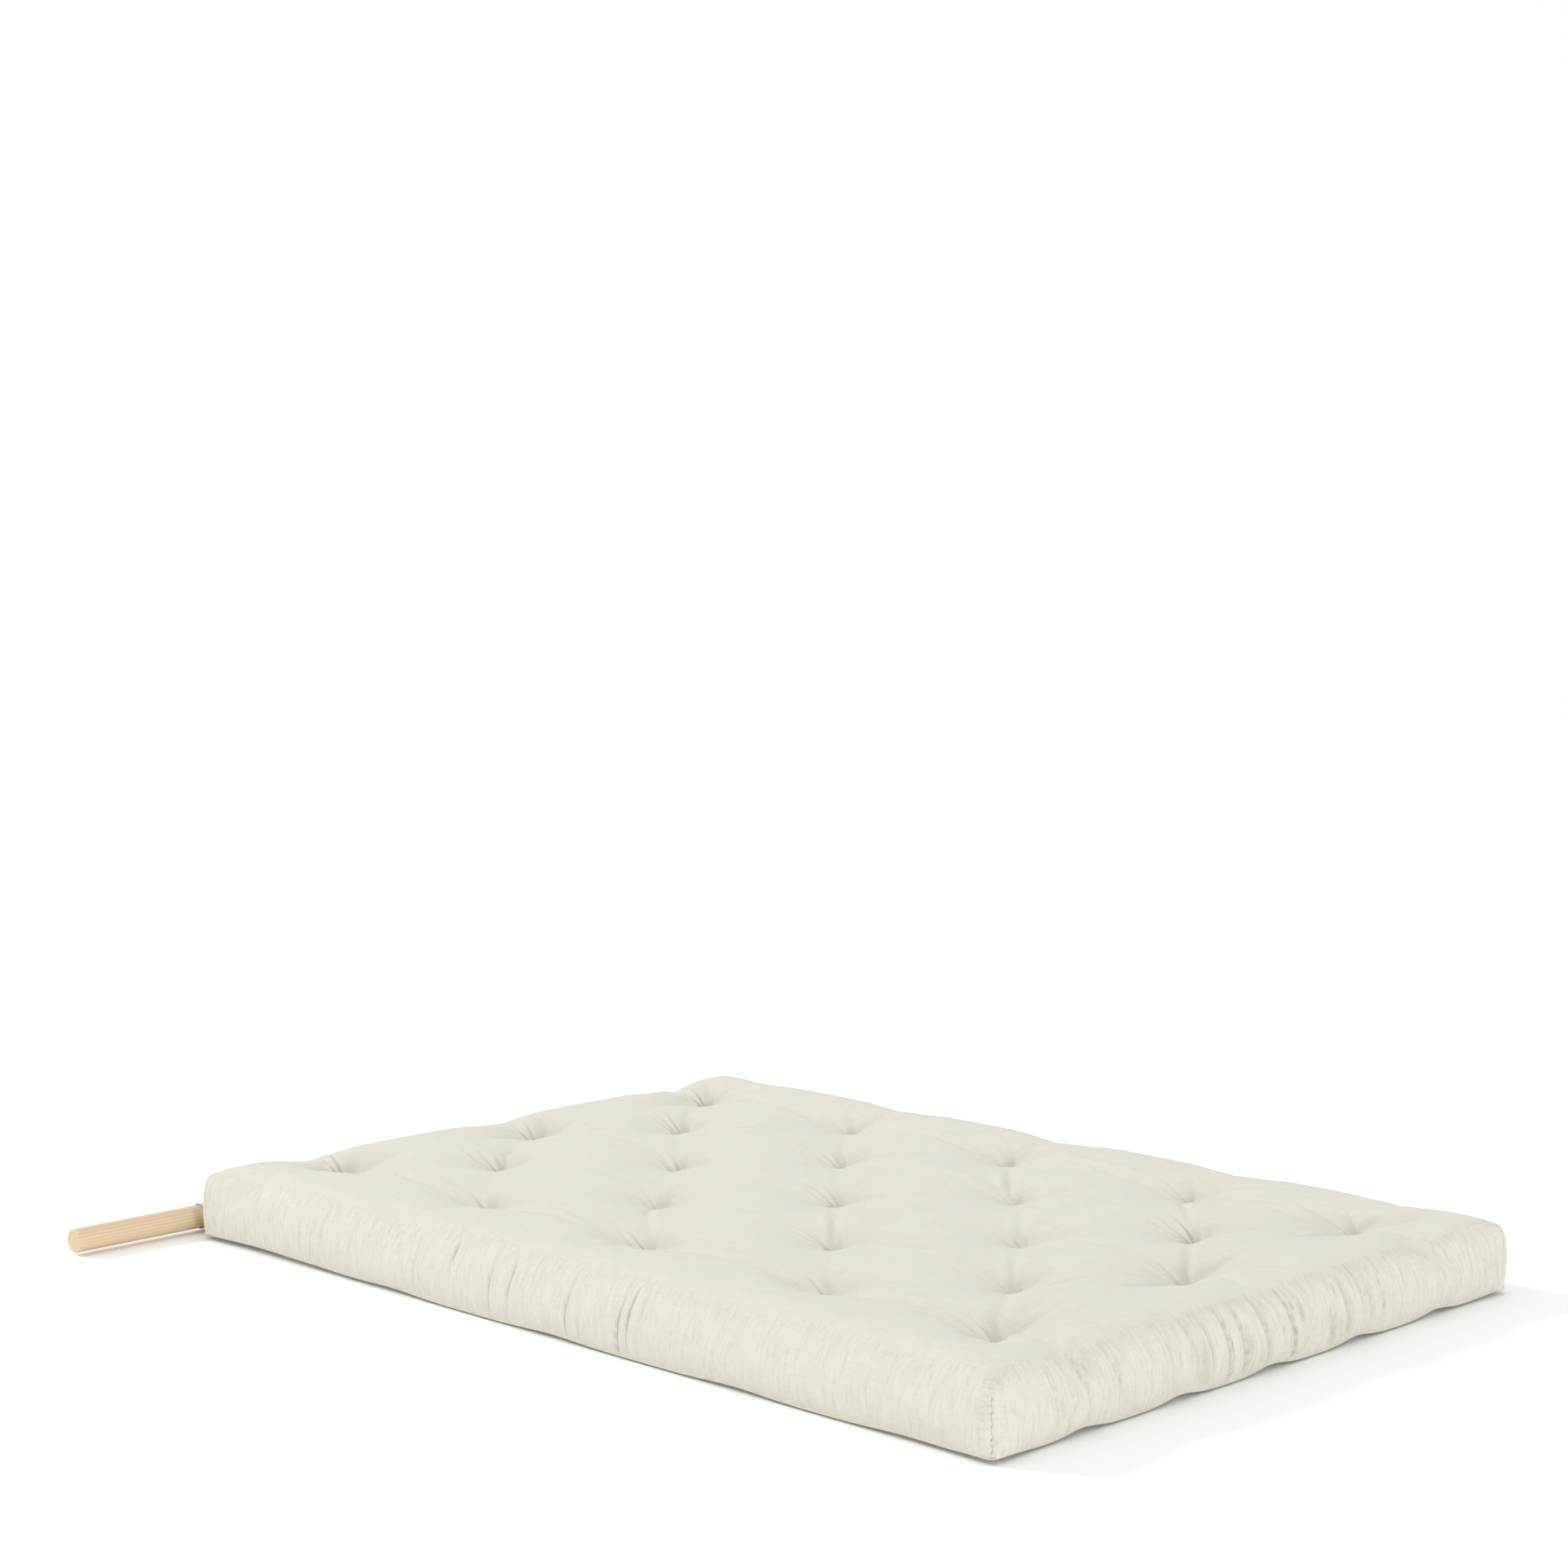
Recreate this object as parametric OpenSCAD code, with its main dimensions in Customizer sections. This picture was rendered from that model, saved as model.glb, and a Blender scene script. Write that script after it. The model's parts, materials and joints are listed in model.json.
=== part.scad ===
// Tufted futon mattress with a fabric tunnel at its head end, which holds a wooden hanging dowel.
// +Z is up and +Y points to the head end. The origin is the centre of the mattress's underside.
// The pad is one soft slab on the real object. Here every layer is cut across at the fold line, so that
// the head end can turn up into a backrest.

/* [Mattress] */
// Width of the pad
mattress_w = 1400; // [1200:10:1600]
// Length of the pad
mattress_l = 2000; // [1900:10:2100]
// Thickness of the pad between the tufts
mattress_h = 140; // [125:5:160]
// Radius of the upright corners
corner_r = 20; // [15:1:40]

/* [Filling] */
// Thickness of each of the two foam sheets
foam_t = 30; // [20:1:34]
// Thickness of the cover fabric
cover_t = 1.5; // [1:0.1:2]

/* [Tufting] */
// How far a tie pulls the upper face down
tuft_dip = 36; // [28:1:44]
// How far a tie pulls the underside up
tuft_lift = 10; // [6:1:12]
// Radius of the hollow round each tie in the upper face
dimple_r = 97; // [70:1:100]
// Radius of the hollow round each tie in the underside
lift_r = 60; // [40:1:80]

/* [Hanging] */
// Diameter of the dowel
dowel_d = 45; // [30:1:50]
// Length of the dowel
dowel_l = 1920; // [1700:10:2000]
// Length of the tunnel
sleeve_l = 1350; // [1100:10:1380]
// Distance from the head edge to the axis of the dowel
dowel_reach = 70; // [60:1:80]

/* [Hidden] */
$fn = 48;

cotton_colour = "oldlace";
foam_colour = "lightyellow";
cover_colour = "ivory";
thread_colour = "wheat";

// The fold line, as a share of the length from the middle towards the head.
fold_y = 0.265 * mattress_l;
section_gap = 0.6;

// Tufts stand in rows across the pad: three, then two between them. Each row is marked out by hand.
tuft_pitch_x = 0.175 * mattress_w;
three_tuft_rows = [0.425, 0.2125, -0.005, -0.2275, -0.4125];
two_tuft_rows = [0.3375, 0.1075, -0.1175, -0.325];
all_tufts = concat(
    [for (y = three_tuft_rows, x = [-2, 0, 2]) [x * tuft_pitch_x, y * mattress_l]],
    [for (y = two_tuft_rows, x = [-1, 1]) [x * tuft_pitch_x, y * mattress_l]]
);

// Layers from the underside up: two of cotton felt, two of foam, two of cotton felt.
layer_gap = 0.2;
felt_t = (mattress_h - 2 * cover_t - 2 * foam_t) / 4;
layer_z = [
    cover_t,
    cover_t + felt_t,
    cover_t + 2 * felt_t,
    cover_t + 2 * felt_t + foam_t,
    cover_t + 2 * felt_t + 2 * foam_t,
    cover_t + 3 * felt_t + 2 * foam_t,
    cover_t + 4 * felt_t + 2 * foam_t
];
layer_inset = cover_t + 0.5;
level_z = layer_z[2];

// Tufting twine: two strands of each tie go through the pad, with a bar on top and a knot below.
strand_r = 1.2;
strand_x = 4;
strand_hole_r = 1.8;
bar_r = 1.5;
bar_l = 2 * (strand_x + bar_r);
bar_clear = 0.4;
knot_r = 3;

thread_r = 0.8;
seam_w = 1;
seam_h = 1.2;

// Whipped stitches up each corner
stitch_l = 9;
stitch_pitch = 10;
stitch_slant = 35;
stitch_low = 12;
stitches = floor((mattress_h - 3 * stitch_low) / stitch_pitch);

// The tunnel's flap turns about a bead along the head edge.
dowel_r = dowel_d / 2;
tunnel_play = 2;
tunnel_wall = 2;
tunnel_in_r = dowel_r + tunnel_play;
tunnel_out_r = tunnel_in_r + tunnel_wall;
bead_r = 1.2;
bead_clear = 0.3;
head_y = mattress_l / 2;
bead_y = head_y + bead_r + bead_clear;
dowel_y = head_y + dowel_reach;
dowel_z = tunnel_out_r;
dowel_chamfer = 2;

depth = 60; // how far cutting shapes reach below the pad
reach = 5; // how far they reach past its sides

function tufts(part) = [for (t = all_tufts) if ((t.y > fold_y) == (part == "back")) t];

// How far a face that is at height z between the tufts sinks at a tuft. The faces of the lower foam sheet
// and of the felt below it stay level.
function sink(z) = z > level_z + 1 ? tuft_dip * (z - level_z) / (mattress_h - level_z) : 0;

function ball_r(rim, d) = (rim * rim + d * d) / (2 * d);

// The outline of one section, with its cut edge at y = cut and its outer end towards +Y.
module section_outline(cut, inset) {
    translate([-mattress_w / 2 + inset, cut])
        square([mattress_w - 2 * inset, head_y - corner_r - cut]);
    translate([-mattress_w / 2 + corner_r, cut])
        square([mattress_w - 2 * corner_r, head_y - inset - cut]);
    for (side = [-1, 1])
        translate([side * (mattress_w / 2 - corner_r), head_y - corner_r])
            circle(r = corner_r - inset);
}

module section_slab(part, inset, past, z_low, z_high) {
    translate([0, 0, z_low]) linear_extrude(z_high - z_low)
        if (part == "back")
            section_outline(fold_y + section_gap / 2 - past, inset);
        else
            mirror([0, 1, 0]) section_outline(-fold_y + section_gap / 2 - past, inset);
}

// Everything below the face that is at height z between the tufts.
module below_face(z, part, inset, past = 0) {
    d = sink(z);
    difference() {
        section_slab(part, inset, past, -depth, z);
        if (d > 0) for (t = tufts(part)) {
            r = ball_r(dimple_r, d);
            translate([t.x, t.y, z - d + r]) sphere(r = r);
        }
    }
}

// The hollows that the ties pull into the underside, with a face at height z between the tufts.
module underside_hollows(z, part) {
    r = ball_r(lift_r, tuft_lift);
    for (t = tufts(part)) translate([t.x, t.y, z + tuft_lift - r]) sphere(r = r);
}

module tie_holes(part) {
    for (t = tufts(part), side = [-1, 1])
        translate([t.x + side * strand_x, t.y, -depth / 2])
            cylinder(r = strand_hole_r, h = mattress_h + depth);
}

module layer(part, z_low, z_high, inset) {
    difference() {
        below_face(z_high, part, inset);
        below_face(z_low, part, -reach, reach);
        if (z_low < felt_t) underside_hollows(z_low, part);
        tie_holes(part);
    }
}

module cotton_felt(part, i) {
    color(cotton_colour) layer(part, layer_z[i], layer_z[i + 1] - layer_gap, layer_inset);
}

module foam_sheet(part, i) {
    color(foam_colour) layer(part, layer_z[i], layer_z[i + 1] - layer_gap, layer_inset);
}

module cover_bottom(part) {
    color(cover_colour) difference() {
        section_slab(part, 0, 0, 0, 2 * cover_t + tuft_lift);
        difference() {
            section_slab(part, -reach, reach, cover_t - layer_gap, depth);
            underside_hollows(cover_t - layer_gap, part);
        }
        underside_hollows(0, part);
        tie_holes(part);
    }
}

module cover_top(part) {
    color(cover_colour) difference() {
        below_face(mattress_h, part, 0);
        section_slab(part, -reach, reach, -2 * depth, cover_t);
        below_face(mattress_h - cover_t, part, cover_t, reach);
        tie_holes(part);
    }
}

module along_x(length, r) {
    rotate([0, 90, 0]) cylinder(r = r, h = length, center = true);
}

module tuft_tie() {
    z_top = mattress_h - tuft_dip + bar_r + bar_clear;
    z_bottom = tuft_lift - bar_r - bar_clear;
    for (side = [-1, 1])
        translate([side * strand_x, 0, z_bottom]) cylinder(r = strand_r, h = z_top - z_bottom, $fn = 24);
    translate([0, 0, z_top]) along_x(bar_l, bar_r, $fn = 24);
    translate([0, 0, z_bottom]) along_x(bar_l, bar_r, $fn = 24);
    translate([0, 0, z_bottom - bar_r]) cylinder(r = knot_r, h = 2 * bar_r + bar_clear / 2, $fn = 24);
}

module tuft_ties(part) {
    color(thread_colour) for (t = tufts(part)) translate([t.x, t.y, 0]) tuft_tie();
}

// The thread that joins the top and bottom of the cover, all round the lower edge.
module bottom_seam(part) {
    color(thread_colour) difference() {
        section_slab(part, -seam_w, 0, cover_t, cover_t + seam_h);
        section_slab(part, 0, reach, 0, 2 * cover_t + seam_h);
    }
}

module corner_stitching(end) {
    stand_off = corner_r + thread_r + bar_clear;
    color(thread_colour) for (side = [-1, 1], i = [0:stitches - 1])
        translate([side * (mattress_w / 2 - corner_r), end * (head_y - corner_r), stitch_low + i * stitch_pitch])
            rotate([0, 0, atan2(end, side)])
                translate([stand_off, 0, 0])
                    rotate([90 + stitch_slant * (i % 2 == 0 ? 1 : -1), 0, 0])
                        cylinder(r = thread_r, h = stitch_l, center = true, $fn = 16);
}

module dowel_sleeve() {
    color(cover_colour) difference() {
        union() {
            translate([0, dowel_y, dowel_z]) along_x(sleeve_l, tunnel_out_r);
            translate([0, bead_y, dowel_z]) along_x(sleeve_l, bead_r);
            translate([-sleeve_l / 2, bead_y, dowel_z - bead_r])
                cube([sleeve_l, dowel_y - bead_y, 2 * bead_r]);
        }
        translate([0, dowel_y, dowel_z]) along_x(sleeve_l + 2 * reach, tunnel_in_r);
    }
}

// The seam that closes the tunnel, seen as a thread on both faces of the flap.
module sleeve_stitching() {
    color(thread_colour) for (side = [-1, 1])
        translate([0, dowel_y - tunnel_out_r - 3 * bead_r, dowel_z + side * (bead_r + thread_r)])
            along_x(sleeve_l - 4 * reach, thread_r);
}

module hanging_dowel() {
    color("burlywood") translate([0, dowel_y, dowel_z]) {
        along_x(dowel_l - 2 * dowel_chamfer, dowel_r);
        for (side = [-1, 1]) translate([side * (dowel_l / 2 - dowel_chamfer), 0, 0]) rotate([0, side * 90, 0])
            cylinder(r1 = dowel_r, r2 = dowel_r - dowel_chamfer, h = dowel_chamfer);
    }
}

cover_top("seat");  // cover_top_seat
cover_bottom("seat");  // cover_bottom_seat
cotton_felt("seat", 0);  // cotton_felt_1_seat
cotton_felt("seat", 1);  // cotton_felt_2_seat
foam_sheet("seat", 2);  // foam_sheet_1_seat
foam_sheet("seat", 3);  // foam_sheet_2_seat
cotton_felt("seat", 4);  // cotton_felt_3_seat
cotton_felt("seat", 5);  // cotton_felt_4_seat
tuft_ties("seat");  // tuft_ties_seat
bottom_seam("seat");  // bottom_seam_seat
corner_stitching(-1);  // corner_stitching_foot
cover_top("back");  // cover_top_back
cover_bottom("back");  // cover_bottom_back
cotton_felt("back", 0);  // cotton_felt_1_back
cotton_felt("back", 1);  // cotton_felt_2_back
foam_sheet("back", 2);  // foam_sheet_1_back
foam_sheet("back", 3);  // foam_sheet_2_back
cotton_felt("back", 4);  // cotton_felt_3_back
cotton_felt("back", 5);  // cotton_felt_4_back
tuft_ties("back");  // tuft_ties_back
bottom_seam("back");  // bottom_seam_back
corner_stitching(1);  // corner_stitching_head
dowel_sleeve();
sleeve_stitching();
hanging_dowel();
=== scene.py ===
"""Tufted futon mattress with its hanging dowel: the looks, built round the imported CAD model."""

import json
import math

import bmesh
import bpy
import numpy as np
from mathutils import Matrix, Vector
from mathutils.bvhtree import BVHTree


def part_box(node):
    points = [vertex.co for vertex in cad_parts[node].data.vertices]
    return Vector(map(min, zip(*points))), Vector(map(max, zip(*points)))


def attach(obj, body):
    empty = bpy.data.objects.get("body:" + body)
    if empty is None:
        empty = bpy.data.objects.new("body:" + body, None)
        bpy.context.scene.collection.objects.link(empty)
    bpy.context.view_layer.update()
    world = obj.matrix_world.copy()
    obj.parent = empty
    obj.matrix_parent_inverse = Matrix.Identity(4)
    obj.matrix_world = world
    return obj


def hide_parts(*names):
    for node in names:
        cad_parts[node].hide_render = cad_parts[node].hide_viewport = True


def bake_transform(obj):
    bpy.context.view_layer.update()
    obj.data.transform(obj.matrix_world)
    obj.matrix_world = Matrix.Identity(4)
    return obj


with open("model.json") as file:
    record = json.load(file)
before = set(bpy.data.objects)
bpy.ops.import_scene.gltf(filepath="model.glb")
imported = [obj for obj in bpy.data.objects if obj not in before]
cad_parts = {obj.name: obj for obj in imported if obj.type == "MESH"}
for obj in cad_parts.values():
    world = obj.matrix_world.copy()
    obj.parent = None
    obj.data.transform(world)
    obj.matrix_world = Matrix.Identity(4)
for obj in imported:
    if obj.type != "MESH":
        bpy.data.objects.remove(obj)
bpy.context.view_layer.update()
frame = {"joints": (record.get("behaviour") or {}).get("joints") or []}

# The pad's sizes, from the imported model. The origin is the centre of its underside.
SEAT_HIGH = Vector(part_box("cover_top_seat")[1])
HALF_W = SEAT_HIGH.x
HALF_L = Vector(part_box("cover_top_back")[1]).y
PAD_H = SEAT_HIGH.z
FOLD = Vector(next(j for j in frame["joints"] if j["name"] == "head_end_fold")["pos_m"])

# Tufts, in the same rows as the CAD: three across, then two between them.
TUFT_PITCH = 0.35 * HALF_W
THREE_TUFT_ROWS = [0.85, 0.425, -0.01, -0.455, -0.825]
TWO_TUFT_ROWS = [0.675, 0.215, -0.235, -0.65]
# How far a tie pulls the upper face down, and the underside up
TUFT_DIP = 0.036
TUFT_LIFT = 0.010
# The steep pit in the middle of a tuft's hollow, and the share of the depth that it takes
PIT_R = 0.032
PIT_SHARE = 0.14
HOLLOW_R = 0.178
UNDER_HOLLOW_R = 0.06

# The cover as it is laid out for the simulation
CELL = 0.010
WALL_ROWS = 13
# How far the cloth's outline is inside the CAD's: below zero, because the filling swells the sides
INSET = -0.004
CORNER_R = 0.012
ROLL_R = 0.032
BULGE = 0.008
# How far each corner is drawn out
EAR = 0.006
# How much longer the cloth is cut than the space it fills, and the furthest it may settle from its start
SLACK = 1.014
MAX_SETTLING = 0.015
# How far the flat top face starts below the pad's height, before the crowns rise
CROWN_ROOM = 0.002

# The lower edge: its height, and how much more it lifts in each place
HEM_H = 0.003
HEM_CORNER_LIFT = 0.006
HEM_SIDE_LIFT = 0.004
HEM_END_LIFT = 0.008
HEM_HEAD_LIFT = 0.006
# The width of the strip along each side where the hem lifts
HEM_STRIP = 0.05

# The gathered sides: the axis across each, which way it faces, how many gathers it has, and their depth
GATHERED_SIDES = [(1, -1, 170, 0.0092), (1, 1, 100, 0.0030), (0, -1, 80, 0.0040), (0, 1, 80, 0.0040)]

# The ranges of each gather's middle height, reach and width, and the share of them that are sharp
GATHER_MIDDLE = (0.03, 0.11)
GATHER_REACH = (0.02, 0.09)
GATHER_WIDTH = (0.0022, 0.0055)
SHARP_GATHERS = 0.3
# How far the sides pull in at each corner's seam, and the head border at the sleeve's seam
CORNER_SEAM_PULL = 0.0035
SLEEVE_SEAM_PULL = 0.0045

# The folds of the top face. A pair is a range, and directions are in degrees from +X.
CREASE_TURN = (64, 80)
CREASE_SPREAD = 9
CREASE_LENGTH = (0.09, 0.13)
CREASE_DEPTH = (0.008, 0.012)
CREASE_WIDTH = 0.0030
TROUGH_TURN = (-54, -38)
TROUGH_LENGTH = (0.16, 0.22)
TROUGH_DEPTH = (0.012, 0.018)
EDGE_CREASE_DEPTH = (0, 0.004)
SOFT_FOLD_DEPTH = 0.0048
SOFT_FOLD_WIDTH = 0.0060
SLANT_BROW_HEIGHT = (0.001, 0.003)
COLUMN_BROW_HEIGHT = (0.002, 0.005)
EDGE_VALLEY_DEPTH = (0.008, 0.012)
TUFT_VALLEY_DEPTH = (0.003, 0.007)

# Room between the filling and the cover above, the filling and the underside, and one sheet and the next
ROOM_ABOVE = 0.003
ROOM_BELOW = 0.0025
SHEET_GAP = 0.0004

# Thread radii and the pitch of the stitches
TWINE_R = 0.0011
CORNER_THREAD_R = 0.0008
HEM_R = 0.0014
SLEEVE_THREAD_R = 0.0004
CORNER_STITCH_PITCH = 0.010
SLEEVE_STITCH_PITCH = 0.0062


def tuft_points():
    """Every tuft, as (x, y)."""
    three = [(x * TUFT_PITCH, y * HALF_L) for y in THREE_TUFT_ROWS for x in (-2, 0, 2)]
    two = [(x * TUFT_PITCH, y * HALF_L) for y in TWO_TUFT_ROWS for x in (-1, 1)]
    return np.array(three + two)


def neighbours(points, across_min, across_max):
    """Pairs of tufts near each other along the pad, and apart across it by a distance in this range."""
    pairs = []
    for i, a in enumerate(points):
        for j, b in enumerate(points[i + 1:], i + 1):
            across, along = abs(a - b)
            if across_min < across < across_max and 0 < along < 2.0 * TUFT_PITCH:
                pairs.append((i, j))
    return pairs


def slant_pairs(points):
    """Pairs of tufts in neighbouring rows."""
    return [
        (i, j) for i, j in neighbours(points, 0.5 * TUFT_PITCH, 1.5 * TUFT_PITCH)
        if abs(points[i][1] - points[j][1]) < 1.5 * TUFT_PITCH
    ]


def column_pairs(points):
    """Pairs of tufts that follow each other along the pad in one column."""
    return neighbours(points, -1, 0.5 * TUFT_PITCH)


def near_segment(xy, a, b):
    """For each point, how far along the segment from a to b it is (0 to 1), and how far off to its left."""
    ahead = b - a
    length = np.linalg.norm(ahead)
    along = ((xy - a) @ ahead) / length**2
    off = (ahead[0] * (xy[:, 1] - a[1]) - ahead[1] * (xy[:, 0] - a[0])) / length
    return along, off


def funnel(r):
    """How far the cover sinks at a distance r from a tuft: a steep pit in a wide shallow hollow."""
    pit = PIT_SHARE * np.clip(1 - r / PIT_R, 0, 1) ** 1.3
    return TUFT_DIP * (pit + (1 - PIT_SHARE) * np.clip(1 - r / HOLLOW_R, 0, 1) ** 1.25)


def edge_points(t):
    """The places on the pad's edge that are straight out from an outer tuft."""
    places = []
    if abs(t[0]) > 1.5 * TUFT_PITCH:
        places.append(np.array([math.copysign(HALF_W, t[0]), t[1]]))
    if abs(t[1]) > 0.8 * HALF_L:
        places.append(np.array([t[0], math.copysign(HALF_L, t[1])]))
    return places


def valley(xy, a, b, depth, width, power=1.3):
    """How far the cover sinks at each point in a soft valley from a to b."""
    along, off = near_segment(xy, a, b)
    beyond = np.abs(along - np.clip(along, 0, 1)) * np.linalg.norm(b - a)
    return depth * np.exp(-((np.hypot(off, beyond) / width) ** power))


def dip_at(xy, rng):
    """How far the cover sinks below its crown: funnels at the tufts, soft valleys from them, low corners."""
    tufts = tuft_points()
    total = np.zeros(len(xy))
    for t in tufts:
        total += funnel(np.hypot(*(xy - t).T)) ** 3
        for end in edge_points(t):
            total += valley(xy, t, end, rng.uniform(*EDGE_VALLEY_DEPTH), 0.075, power=2) ** 3
    for i, j in slant_pairs(tufts):
        total += valley(xy, tufts[i], tufts[j], rng.uniform(*TUFT_VALLEY_DEPTH), 0.032) ** 3
    return total ** (1 / 3) + 0.004 * np.exp(-((from_corner(xy) / 0.09) ** 2))


def round_corners(p, half_x, half_y, r):
    """Moves the points of a square-cornered outline onto one with corners of radius r."""
    core = np.clip(p[:, :2], (r - half_x, r - half_y), (half_x - r, half_y - r))
    d = p[:, :2] - core
    length = np.linalg.norm(d, axis=1)
    scale = np.where(length > 1e-9, np.abs(d).max(axis=1) / np.maximum(length, 1e-9), 1)
    p[:, :2] = core + d * scale[:, None]
    return p


def from_corner(xy):
    """How far each point of the plan is from the nearest corner of the pad."""
    return np.hypot(HALF_W - np.abs(xy[:, 0]), HALF_L - np.abs(xy[:, 1]))


def eared(xy):
    """The plan with its corners drawn out a little, where the filling is packed into them."""
    out = EAR * np.exp(-((from_corner(xy) / 0.07) ** 2))
    return xy + np.sign(xy) * out[:, None]


def roll_edge(p, half_x, half_y, top, r):
    """Rounds the edge between the top face and the sides to radius r."""
    past = np.abs(p[:, :2]) - (half_x - r, half_y - r)
    out = np.clip(past.max(axis=1), 0, None)
    up = np.clip(p[:, 2] - (top - r), 0, None)
    far, length = np.maximum(out, up), np.hypot(out, up)
    scale = np.where((out > 0) & (up > 0), far / np.maximum(length, 1e-9), 1)
    sign = np.sign(p[:, :2])
    p[:, :2] -= sign * np.clip(past, 0, None) * (1 - scale)[:, None]
    p[:, 2] -= up * (1 - scale)
    return p


def hem_height(xy):
    """The height of the lower edge: it lifts at the corners, by the tufts and on the sides by the head."""
    height = HEM_H + HEM_CORNER_LIFT * np.exp(-((from_corner(xy) / 0.09) ** 2))
    on_side = np.abs(xy[:, 0]) > HALF_W - HEM_STRIP
    on_end = np.abs(xy[:, 1]) > HALF_L - HEM_STRIP
    tufts = tuft_points()
    for t in tufts[np.abs(tufts[:, 0]) > 1.5 * TUFT_PITCH]:
        same_side = np.sign(xy[:, 0]) == np.sign(t[0])
        height += on_side * same_side * HEM_SIDE_LIFT * np.exp(-(((xy[:, 1] - t[1]) / 0.09) ** 2))
    by_head = np.exp(-(((xy[:, 1] - 0.72 * HALF_L) / 0.2) ** 2))
    height += on_side * HEM_HEAD_LIFT * by_head
    for x in np.arange(-2, 3) * TUFT_PITCH:
        height += on_end * HEM_END_LIFT * np.exp(-(((xy[:, 0] - x) / 0.05) ** 2))
    return height


def open_box_lattice():
    """A sheet over the pad's top and four sides: each point's share of the box each way, and its quads."""
    nx, ny, nz = round(2 * HALF_W / CELL), round(2 * HALF_L / CELL), WALL_ROWS
    index, places, quads = {}, [], []

    def at(i, j, k):
        if (i, j, k) not in index:
            index[i, j, k] = len(places)
            places.append((i, j, k))
        return index[i, j, k]

    for i in range(nx):
        for j in range(ny):
            quads.append((at(i, j, nz), at(i + 1, j, nz), at(i + 1, j + 1, nz), at(i, j + 1, nz)))
    for k in range(nz):
        for i in range(nx):
            quads.append((at(i, 0, k), at(i + 1, 0, k), at(i + 1, 0, k + 1), at(i, 0, k + 1)))
            quads.append((at(i + 1, ny, k), at(i, ny, k), at(i, ny, k + 1), at(i + 1, ny, k + 1)))
        for j in range(ny):
            quads.append((at(0, j + 1, k), at(0, j, k), at(0, j, k + 1), at(0, j + 1, k + 1)))
            quads.append((at(nx, j, k), at(nx, j + 1, k), at(nx, j + 1, k + 1), at(nx, j, k + 1)))
    return np.array(places, float) / (nx, ny, nz), quads


def mesh_object(name, points, quads):
    """A smooth-shaded object of these points and faces."""
    mesh = bpy.data.meshes.new(name)
    mesh.from_pydata([tuple(p) for p in points], [], quads)
    mesh.polygons.foreach_set("use_smooth", [True] * len(mesh.polygons))
    mesh.update()
    obj = bpy.data.objects.new(name, mesh)
    bpy.context.scene.collection.objects.link(obj)
    return obj


def map_by_vertex(mesh, places):
    """The cloth map, in metres, from one place on the flat cloth for each vertex."""
    corner = np.empty(len(mesh.loops), int)
    mesh.loops.foreach_get("vertex_index", corner)
    mesh.uv_layers.new(name="cloth").data.foreach_set("uv", places[corner].ravel())


def points_of(mesh):
    co = np.empty(3 * len(mesh.vertices))
    mesh.vertices.foreach_get("co", co)
    return co.reshape(-1, 3)


def cover_blank(shares):
    """The cover with no tufts: the pad's box with rounded corners, a rolled upper edge and bulging sides."""
    half_x, half_y = HALF_W - INSET, HALF_L - INSET
    p = (shares * 2 - 1) * (half_x, half_y, 0)
    hem = hem_height(p[:, :2])
    p[:, 2] = hem + shares[:, 2] * (PAD_H - CROWN_ROOM - hem)
    bulge = BULGE * np.sin(math.pi * np.clip(p[:, 2] / PAD_H, 0, 1)) ** 0.8
    on_side = shares[:, 2] < 1
    edge = np.abs(np.abs(shares[:, :2] - 0.5) - 0.5) < 1e-9
    p = round_corners(p, half_x, half_y, CORNER_R)
    p[:, :2] += np.sign(p[:, :2]) * edge * (bulge * on_side)[:, None]
    p[:, :2] = eared(p[:, :2])
    return roll_edge(p, half_x, half_y, PAD_H - CROWN_ROOM, ROLL_R)


def cover_start(shares, rng):
    """The cover before it settles, with its funnels and valleys pressed in."""
    p = cover_blank(shares)
    p[:, 2] -= dip_at(p[:, :2], rng) * np.clip((p[:, 2] - PAD_H / 2) / (PAD_H / 2), 0, 1)
    return p


def cover_cut(shares):
    """The same sheet as it was cut: a little longer every way than the space it fills."""
    return cover_blank(shares) * SLACK


def settle(obj, cut, held, frames=20, pressure=3.0):
    """Lets the sheet settle as cloth over its filling, and returns where its points come to rest."""
    obj.shape_key_add(name="start")
    rest = obj.shape_key_add(name="cut")
    rest.data.foreach_set("co", cut.ravel())
    rest.value = 0
    group = obj.vertex_groups.new(name="held")
    for weight in np.unique(held):
        group.add(np.flatnonzero(held == weight).tolist(), float(weight), "REPLACE")
    cloth = obj.modifiers.new("settle", "CLOTH")
    s = cloth.settings
    s.quality = 6
    s.mass = 0.3
    s.tension_stiffness = 40
    s.compression_stiffness = 8
    s.shear_stiffness = 10
    s.bending_stiffness = 0.3
    s.air_damping = 4
    s.use_pressure = True
    s.uniform_pressure_force = pressure
    s.effector_weights.gravity = 0
    s.vertex_group_mass = "held"
    s.rest_shape_key = rest
    cloth.collision_settings.use_collision = False
    cloth.point_cache.frame_start = 1
    cloth.point_cache.frame_end = frames
    scene = bpy.context.scene
    for f in range(1, frames + 1):
        scene.frame_set(f)
    evaluated = obj.evaluated_get(bpy.context.evaluated_depsgraph_get())
    settled = evaluated.to_mesh()
    p = points_of(settled).copy()
    evaluated.to_mesh_clear()
    obj.modifiers.remove(cloth)
    obj.shape_key_clear()
    scene.frame_set(1)
    return p


# ---------------------------------------------------------------- cover

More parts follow.
